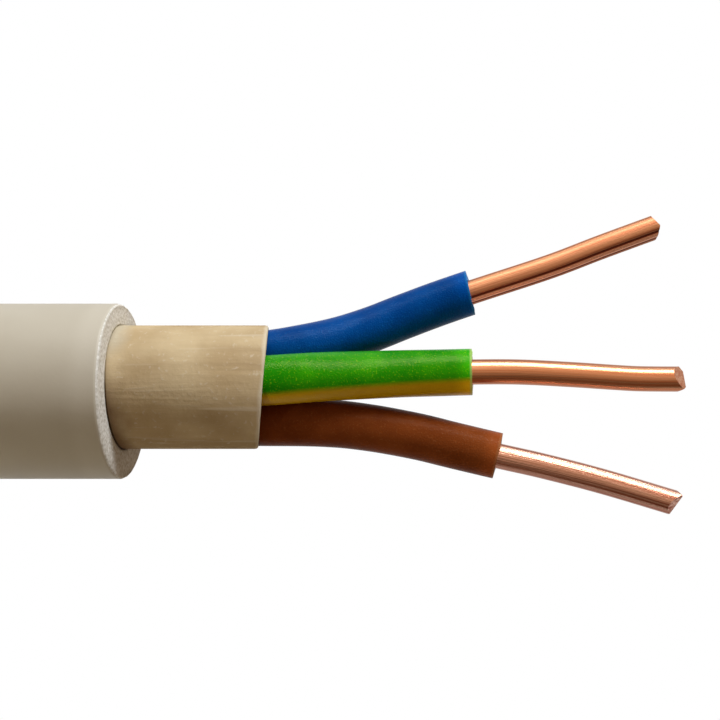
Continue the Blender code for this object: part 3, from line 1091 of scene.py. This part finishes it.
COPPERS = {
    "blue": make_copper(
        "brushed",
        "blue",
        dark=(0.46, 0.15, 0.07),
        light=(0.72, 0.36, 0.19),
        roughness=(0.44, 0.6),
        depth=0.000014,
    ),
    "green_yellow": make_copper(
        "bright",
        "green_yellow",
        dark=(0.64, 0.21, 0.09),
        light=(0.87, 0.44, 0.25),
        roughness=(0.2, 0.38),
        depth=0.000008,
    ),
    "brown": make_copper(
        "speckled",
        "brown",
        dark=(0.42, 0.13, 0.07),
        light=(0.95, 0.57, 0.43),
        roughness=(0.22, 0.44),
        depth=0.000026,
    ),
}
print("materials:", ", ".join(material.name for material in COPPERS.values()))

# %% [markdown]
# ## The cut ends of the wires
#
# Side cutters pinch a wire from two sides, so each end is a short roof of two flats, and the
# three wires were cut at different turns of the pliers. Each flat is a plane given in the wire's
# own directions, and everything past it is taken off and filled.

# %% Make the three conductors
WIRE_SIDES = 72
WIRE_SHARP_BEND = math.radians(28)
TIP_FLATS = {  # each flat's normal as heading, aside and above, and how far back it cuts the axis
    "blue": (
        ((0.996, 0.09, 0.0), 0.00001),
        ((0.842, 0.412, 0.347), -0.000284),
        ((0.906, -0.423, 0.0), 0.0),
    ),
    "green_yellow": (
        ((0.645, 0.342, 0.683), -0.00004),
        ((0.70, 0.70, 0.0), -0.00041),
        ((0.53, -0.85, 0.0), -0.000685),
    ),
    "brown": (
        ((0.596, -0.265, 0.758), -0.000445),
        ((0.952, -0.305, 0.0), -0.00006),
        ((0.60, 0.80, 0.0), -0.000868),
    ),
}
TIP_EXTRA = {"blue": 0.0, "green_yellow": 0.0, "brown": 0.0002}  # length swept past the tip


def cut_flat(shape, heading, aside, above, tip, normal, back):
    """Takes off what lies past one flat, and closes the cut."""
    out = (heading * normal[0] + aside * normal[1] + above * normal[2]).normalized()
    cut = bmesh.ops.bisect_plane(
        shape,
        geom=list(shape.verts) + list(shape.edges) + list(shape.faces),
        dist=1e-7,
        plane_co=tip - heading * back,
        plane_no=out,
        clear_outer=True,
    )
    edges = [item for item in cut["geom_cut"] if isinstance(item, bmesh.types.BMEdge)]
    bmesh.ops.holes_fill(shape, edges=edges, sides=0)


def groove_depth(name, angle):
    """How deep the die's marks are at an angle: bell curves as wide as stated at half depth."""
    return sum(
        depth * math.exp(-(((angle - middle) / (width / 1.6)) ** 2))
        for middle, width, depth in GROOVES[name]
    )


def make_wire(name, core):
    end = core["conductor_ends"]
    route = core_route(core, -LAYERS_REACH_BACK, end + TIP_EXTRA[name])
    rings = swept_rings(route, CONDUCTOR_RADIUS, WIRE_SIDES, COPPERS[name])
    gaps = distances(route)
    tube = Tube(WIRE_SIDES)
    for i, ring in enumerate(rings):
        _, aside, above = frame_at(route, i)
        centre = Vector(route[i])
        points = []
        for point in ring:
            out = (Vector(point) - centre).normalized()
            angle = math.degrees(math.atan2(out.dot(above), out.dot(aside)))
            points.append(centre + out * (CONDUCTOR_RADIUS - groove_depth(name, angle)))
        tube.add(points, centre, aside, above, gaps[i])
        if i == 0:
            tube.cap()
    tube.cap()
    heading, aside, above = frame_at(route, len(route) - 1)
    tip = Vector(route[-1]) - heading * TIP_EXTRA[name]
    for normal, back in TIP_FLATS[name]:
        cut_flat(tube.shape, heading, aside, above, tip, normal, back)
    piece = tube.piece("copper_wire_" + name, COPPERS[name])
    piece.data.set_sharp_from_angle(angle=WIRE_SHARP_BEND)
    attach(piece, "root")
    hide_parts("conductor_" + name)
    return piece


for core_name, core in CORES.items():
    wire = make_wire(core_name, core)
    print(wire.name, len(wire.data.polygons), "faces")

# %% [markdown]
# ## The inner end of the coil
#
# In the bore the cable ends in a plain square cut, where the same layers show as rings and discs.
# They are short plugs, each a little proud of the next, with holes cut where the next one goes.

# %% Make the layers of the inner end
LAYER_SHOWS = 0.00004  # how far each layer stands past the one round it
INNER_CORES_FROM_MIDDLE = 0.00155
INNER_CORE_TURNS = {"blue": 90, "green_yellow": 210, "brown": 330}
PLUG_STARTS = -0.95 * INNER_BORE  # just short of the bottom of the inner bore
HOLE_REACHES = 0.001
PLUG_EDGE = 0.00003
INNER_CORE_SIDES = 32
INNER_WIRE_SIDES = 24
INNER_BEDDING_SIDES = 64


def make_plug(name, centre, heading, radius, start, end, sides, material):
    """A short round plug with a softened front edge."""
    aside = Vector((0, 0, 1)).cross(heading).normalized()
    above = heading.cross(aside)
    plug = Tube(sides)
    for along, across in ((start, radius), (end - PLUG_EDGE, radius), (end, radius - PLUG_EDGE)):
        points = ring_points(centre + heading * along, heading, aside, above, across, sides)
        plug.add(points, centre, aside, above, along)
        if along == start:
            plug.cap()
    plug.cap()
    return plug.piece(name, material)


def make_hole(name, centre, heading, radius, sides):
    """A plug that reaches past both ends of the piece that it is cut from."""
    return make_plug(
        name, centre, heading, radius, 2 * PLUG_STARTS, HOLE_REACHES, sides, BEDDING
    )


def make_inner_end():
    inwards, aside, above = frame_at(cable_route, 0)
    start, out = Vector(cable_route[0]), -inwards

    def layer(name, centre, radius, shows, sides, material):
        place = (PLUG_STARTS, shows * LAYER_SHOWS)
        return make_plug("inner_" + name, centre, out, radius, *place, sides, material)

    pieces, holes = [], []
    for name, angle in INNER_CORE_TURNS.items():
        turn = math.radians(angle)
        way = aside * math.cos(turn) + above * math.sin(turn)
        centre = start + way * INNER_CORES_FROM_MIDDLE
        size, sides = CORE_RADIUS + CORE_ROOM, INNER_CORE_SIDES
        holes.append(make_hole("hole " + name, centre, out, size, sides))
        core = layer("insulation_" + name, centre, CORE_RADIUS, 2, sides, FINISHES[name])
        size, sides = CONDUCTOR_RADIUS + WIRE_ROOM, INNER_WIRE_SIDES
        cut_holes(core, [make_hole("wire hole", centre, out, size, sides)])
        core.data.set_sharp_from_angle(angle=SHARP_BEND)
        wire = layer("wire_" + name, centre, CONDUCTOR_RADIUS, 3, sides, COPPERS[name])
        pieces += [(core, "insulation_" + name), (wire, "copper")]
    filler = layer("bedding", start, BEDDING_RADIUS, 1, INNER_BEDDING_SIDES, BEDDING)
    cut_holes(filler, holes)
    filler.data.set_sharp_from_angle(angle=SHARP_BEND)
    for piece, slot in pieces + [(filler, "bedding")]:
        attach(piece, "root")
    print("inner end:", len(pieces) + 1, "pieces")


make_inner_end()

# %% [markdown]
# ## The straps
#
# Three flat plastic straps hold the ring together. Each is one band that goes once round the
# winding and laps over its own beginning on the outside, where it is heat-sealed. The band is
# swept by its own geometry tree, as a rectangle with rounded edges, and its face is embossed
# with small diamonds, as the machine that makes such a strap rolls them in.

# %% The strap's finish
DIAMOND_MM = 1.7  # from one ridge to the next
EMBOSSED_MM = (3.9, 4.2)  # the diamonds fade out between these distances from the middle line
STRAP_TONES = ((0.30, 0.31, 0.33), (0.37, 0.38, 0.40))
STRAP_RIDGE = (0.5, 0.51, 0.53)


def make_strap_finish():
    material, tree, surface = new_material("strap grey", Roughness=0.34)
    across, _, along = lay_of(tree)
    waves = []
    for how in ("ADD", "SUBTRACT"):
        slant = math_of(tree, "DIVIDE", math_of(tree, how, across, along), DIAMOND_MM)
        waves.append(math_of(tree, "PINGPONG", slant, 0.5))
    ridge = spread(tree, math_of(tree, "MINIMUM", *waves), 0.04, 0.2, 1.0, 0.0, smooth=True)
    inside = spread(tree, math_of(tree, "ABSOLUTE", across), *EMBOSSED_MM, 1.0, 0.0)
    ridge = times(tree, ridge, inside)
    grain = use_group(tree, GRAIN, Scale=2500.0, Coarse_Scale=300.0)
    tone = spread(tree, grain.outputs["Blotches"], 0.35, 0.65)
    colour = blend_colours(tree, tone, *STRAP_TONES)
    colour = blend_colours(tree, times(tree, ridge, 0.3), colour, STRAP_RIDGE)
    dress(tree, surface, {"Base Color": colour})
    fine = times(tree, grain.outputs["Height"], 0.15)
    bump(tree, surface, math_of(tree, "ADD", ridge, fine), depth=0.00008, strength=0.8)
    return material


STRAP = make_strap_finish()
print("material:", STRAP.name)

# %% Build the geometry tree for a flat band
STRAP_EDGE = 0.35  # the radius of its rounded edges, as a share of its thickness


def make_band_tree():
    tree, given, identifiers = new_piece_tree(
        "sweep a flat band",
        (
            ("Path", "Geometry"),
            ("Width", "Float"),
            ("Thickness", "Float"),
            ("Across", "Vector"),
            ("Material", "Material"),
        ),
    )
    line = put(tree, "GeometryNodeMeshToCurve", {"Mesh": given.outputs["Path"]})
    level = put(
        tree,
        "GeometryNodeSetCurveNormal",
        {"Curve": line.outputs["Curve"], "Normal": given.outputs["Across"]},
        mode="FREE",
    )
    flat = put(
        tree,
        "GeometryNodeCurvePrimitiveQuadrilateral",
        {"Width": given.outputs["Width"], "Height": given.outputs["Thickness"]},
    )
    edge = times(tree, given.outputs["Thickness"], STRAP_EDGE)
    rounding = {"Curve": flat.outputs["Curve"], "Count": 2, "Radius": edge}
    rounded = put(tree, "GeometryNodeFilletCurve", rounding, mode="POLY")
    band = put(
        tree,
        "GeometryNodeCurveToMesh",
        {
            "Curve": level.outputs["Curve"],
            "Profile Curve": rounded.outputs["Curve"],
            "Fill Caps": True,
        },
    )
    end_piece_tree(tree, band.outputs["Mesh"], given.outputs["Material"])
    return tree, identifiers


BAND = make_band_tree()
print("geometry tree:", BAND[0].name)

# %% Make the three straps
STRAPS = 3
STRAP_WIDTH = 0.010
STRAP_THICKNESS = 0.0006
STRAP_CLEARANCE = 0.0003
STRAP_TIGHT = 0.00026  # how much closer the band lies to the outer turns
STRAP_FIRST_TURN = math.radians(-6)
STRAP_LAP = (0.016, 0.036)  # the heights between which the ends lap
LAP_ROOM = 0.00001
CORNER_STEPS = 8
STRAP_STEP = 0.002
STRAP_SHARP_BEND = math.radians(50)


def strap_path():
    """The band's middle line in the coil's section, as radius and height, round once and lapped."""
    bore = OUTER_TURN - (TURNS_ACROSS - 1) * TURN_PITCH
    inner_wall = bore - SHEATH_RADIUS
    inner = bore - inner_wall + math.sqrt(inner_wall**2 - (STRAP_WIDTH / 2) ** 2)
    top = LOWEST_ROW + (TURNS_HIGH - 1) * TURN_PITCH
    reach = SHEATH_RADIUS + STRAP_CLEARANCE + STRAP_THICKNESS / 2
    path = [(OUTER_TURN + reach - STRAP_TIGHT, STRAP_LAP[0])]
    corners = ((OUTER_TURN, top, 0), (inner, top, 90), (inner, LOWEST_ROW, 180))
    for radius, height, first in corners + ((OUTER_TURN, LOWEST_ROW, 270),):
        for i in range(CORNER_STEPS + 1):
            share = i / CORNER_STEPS
            turn = math.radians(first + 90 * share)
            lap = (STRAP_THICKNESS + LAP_ROOM) * ease(share) if first == 270 else 0.0
            tight = STRAP_TIGHT if radius == OUTER_TURN else 0.0
            side, up = (reach + lap - tight) * math.cos(turn), reach * math.sin(turn)
            path.append((radius + side, height + up))
    path.append((path[-1][0], STRAP_LAP[1]))
    return path


def make_strap(number):
    turn = STRAP_FIRST_TURN + math.tau * number / STRAPS
    out = Vector((math.cos(turn), math.sin(turn), 0))
    side = Vector((-out.y, out.x, 0))
    middle = Vector((COIL_CENTRE.x, COIL_CENTRE.y, 0))
    path = strap_path()
    flat = []
    for (r0, z0), (r1, z1) in zip(path, path[1:]):
        count = max(round(math.hypot(r1 - r0, z1 - z0) / STRAP_STEP), 1)
        flat += [(r0 + (r1 - r0) * i / count, z0 + (z1 - z0) * i / count) for i in range(count)]
    flat.append(path[-1])
    points = [middle + out * radius + Vector((0, 0, height)) for radius, height in flat]
    strap = run_along(
        f"strap_band_{number + 1}",
        points,
        BAND,
        Width=STRAP_WIDTH,
        Thickness=STRAP_THICKNESS,
        Across=tuple(side),
        Material=STRAP,
    )
    gaps = distances(points)
    round_band = len(strap.data.vertices) // len(points)
    lay = strap.data.attributes.new("lay", "FLOAT_VECTOR", "POINT")
    for i, vertex in enumerate(strap.data.vertices):
        across = (vertex.co - middle).dot(side)
        lay.data[i].vector = (1000 * across, 0.0, 1000 * gaps[i // round_band])
    strap.data.shade_smooth()
    strap.data.set_sharp_from_angle(angle=STRAP_SHARP_BEND)
    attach(strap, "root")
    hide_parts(f"strap_{number + 1}")
    return strap


for strap_number in range(STRAPS):
    strap = make_strap(strap_number)
    print(strap.name, len(strap.data.polygons), "faces")

# %% [markdown]
# ## The floor and the light
#
# The floor and the space round it are plain white to the eye, dimmer in reflections, and much
# dimmer as a source of light, so that the undersides stay dark as in the photograph. One broad
# soft lamp stands low behind the cable, where the top of the picture is, and the room fills in
# the rest. Two narrow lamps light the ring, and are aimed to leave the stripped end out.

# %% Make the floor
FLOOR_HALF = 12.0
FLOOR_DROP = 0.00001  # how far it lies under the cable
FLOOR_BOUNCE = 0.22
FLOOR_BOUNCE_COLOUR = (1, 0.78, 0.58)
FLOOR_MIRRORED = 0.6
WHITE = (1, 1, 1)


def make_floor():
    mesh = bpy.data.meshes.new("floor")
    half = FLOOR_HALF
    corners = ((-half, -half), (half, -half), (half, half), (-half, half))
    mesh.from_pydata([(x, y, -FLOOR_DROP) for x, y in corners], [], [(0, 1, 2, 3)])
    material, tree, surface = new_material("floor white")
    tree.nodes.remove(surface)
    path = put(tree, "ShaderNodeLightPath")
    looked, glossy = path.outputs["Is Camera Ray"], path.outputs["Is Glossy Ray"]
    shown = math_of(tree, "MAXIMUM", times(tree, glossy, FLOOR_MIRRORED), looked)
    white = put(tree, "ShaderNodeEmission", {"Color": WHITE, "Strength": shown})
    bounce = {"Color": FLOOR_BOUNCE_COLOUR, "Strength": FLOOR_BOUNCE}
    dim = put(tree, "ShaderNodeEmission", bounce)
    both = put(tree, "ShaderNodeMixShader", {"Fac": math_of(tree, "MAXIMUM", looked, glossy)})
    tree.links.new(dim.outputs[0], both.inputs[1])
    tree.links.new(white.outputs[0], both.inputs[2])
    tree.links.new(both.outputs[0], tree.nodes["Material Output"].inputs["Surface"])
    mesh.materials.append(material)
    return link_piece("floor", mesh)


floor = make_floor()
print("the floor is", 2 * FLOOR_HALF, "m wide")

# %% Make the light
LAMP_DISTANCE = 0.6
LAMP_HEIGHT = 15  # degrees over the floor
LAMP_TURN = 68  # degrees round from +X, so that it stands to the right of +Y
LAMP_SIZE = (0.7, 0.18)
LAMP_WATTS = 4.2
LAMP_COLOUR = (0.93, 0.97, 1.0)
ROOM_COLOUR = (1.0, 0.77, 0.56)
ROOM_LIGHT = (0.14, 0.22)  # on the side away from the lamp, and on its own side
ROOM_MIRRORED = (0.16, 0.80)
RING_DISTANCE = 0.6
RING_REACH = 0.088  # the radius of a ring lamp's cone where it meets the ring
RING_SOFTNESS = 0.02
RING_BLEND = 0.12
RING_LAMPS = ((-45, 40, 6.5), (190, 58, 5.5))  # turn and height in degrees, watts


def place_lamp(data, target, distance, turn, height):
    """Stands a lamp at a turn from +X and a height, in degrees, and points it at its target."""
    lamp = bpy.data.objects.new(data.name, data)
    turn, rise = math.radians(turn), math.radians(height)
    level = Vector((math.cos(turn), math.sin(turn), 0))
    towards = level * math.cos(rise) + Vector((0, 0, math.sin(rise)))
    lamp.location = target + distance * towards
    lamp.rotation_mode = "QUATERNION"
    lamp.rotation_quaternion = towards.to_track_quat("Z", "Y")
    lamp.visible_camera = False
    bpy.context.scene.collection.objects.link(lamp)


def make_lamp():
    data = bpy.data.lights.new("broad soft lamp", "AREA")
    data.shape = "RECTANGLE"
    data.size, data.size_y = LAMP_SIZE
    data.energy = LAMP_WATTS
    data.color = LAMP_COLOUR
    target = Vector((eye.location.x, eye.location.y, SHEATH_CUT.z))
    place_lamp(data, target, LAMP_DISTANCE, LAMP_TURN, LAMP_HEIGHT)


def make_ring_lamps():
    """Narrow lamps for the ring alone, which the photograph leaves out of its picture."""
    for number, (turn, height, watts) in enumerate(RING_LAMPS):
        data = bpy.data.lights.new(f"ring lamp {number + 1}", "SPOT")
        data.energy = watts
        data.color = LAMP_COLOUR
        data.shadow_soft_size = RING_SOFTNESS
        data.spot_size = 2 * math.atan(RING_REACH / RING_DISTANCE)
        data.spot_blend = RING_BLEND
        place_lamp(data, COIL_CENTRE, RING_DISTANCE, turn, height)


def make_room():
    """Brighter towards the lamp, and brighter in reflections than as a source of light."""
    world = bpy.data.worlds.new("room")
    bpy.context.scene.world = world
    world.use_nodes = True
    tree = world.node_tree
    way = put(tree, "ShaderNodeTexCoord").outputs["Generated"]
    lampwards = put(tree, "ShaderNodeSeparateXYZ", {"Vector": way}).outputs["Y"]
    rays = put(tree, "ShaderNodeLightPath")
    looked, glossy = rays.outputs["Is Camera Ray"], rays.outputs["Is Glossy Ray"]
    shone = spread(tree, lampwards, -1.0, 1.0, *ROOM_LIGHT)
    mirrored = spread(tree, lampwards, -0.6, 0.6, *ROOM_MIRRORED)
    strength = put(tree, "ShaderNodeMix", {0: glossy, 2: shone, 3: mirrored}).outputs[0]
    strength = math_of(tree, "MAXIMUM", strength, looked)
    colour = blend_colours(tree, looked, ROOM_COLOUR, WHITE)
    dress(tree, tree.nodes["Background"], {"Strength": strength, "Color": colour})


make_lamp()
make_ring_lamps()
make_room()
bpy.context.scene.view_settings.view_transform = "Standard"
bpy.context.scene.view_settings.look = "None"
print("lamp, room and floor are in place")
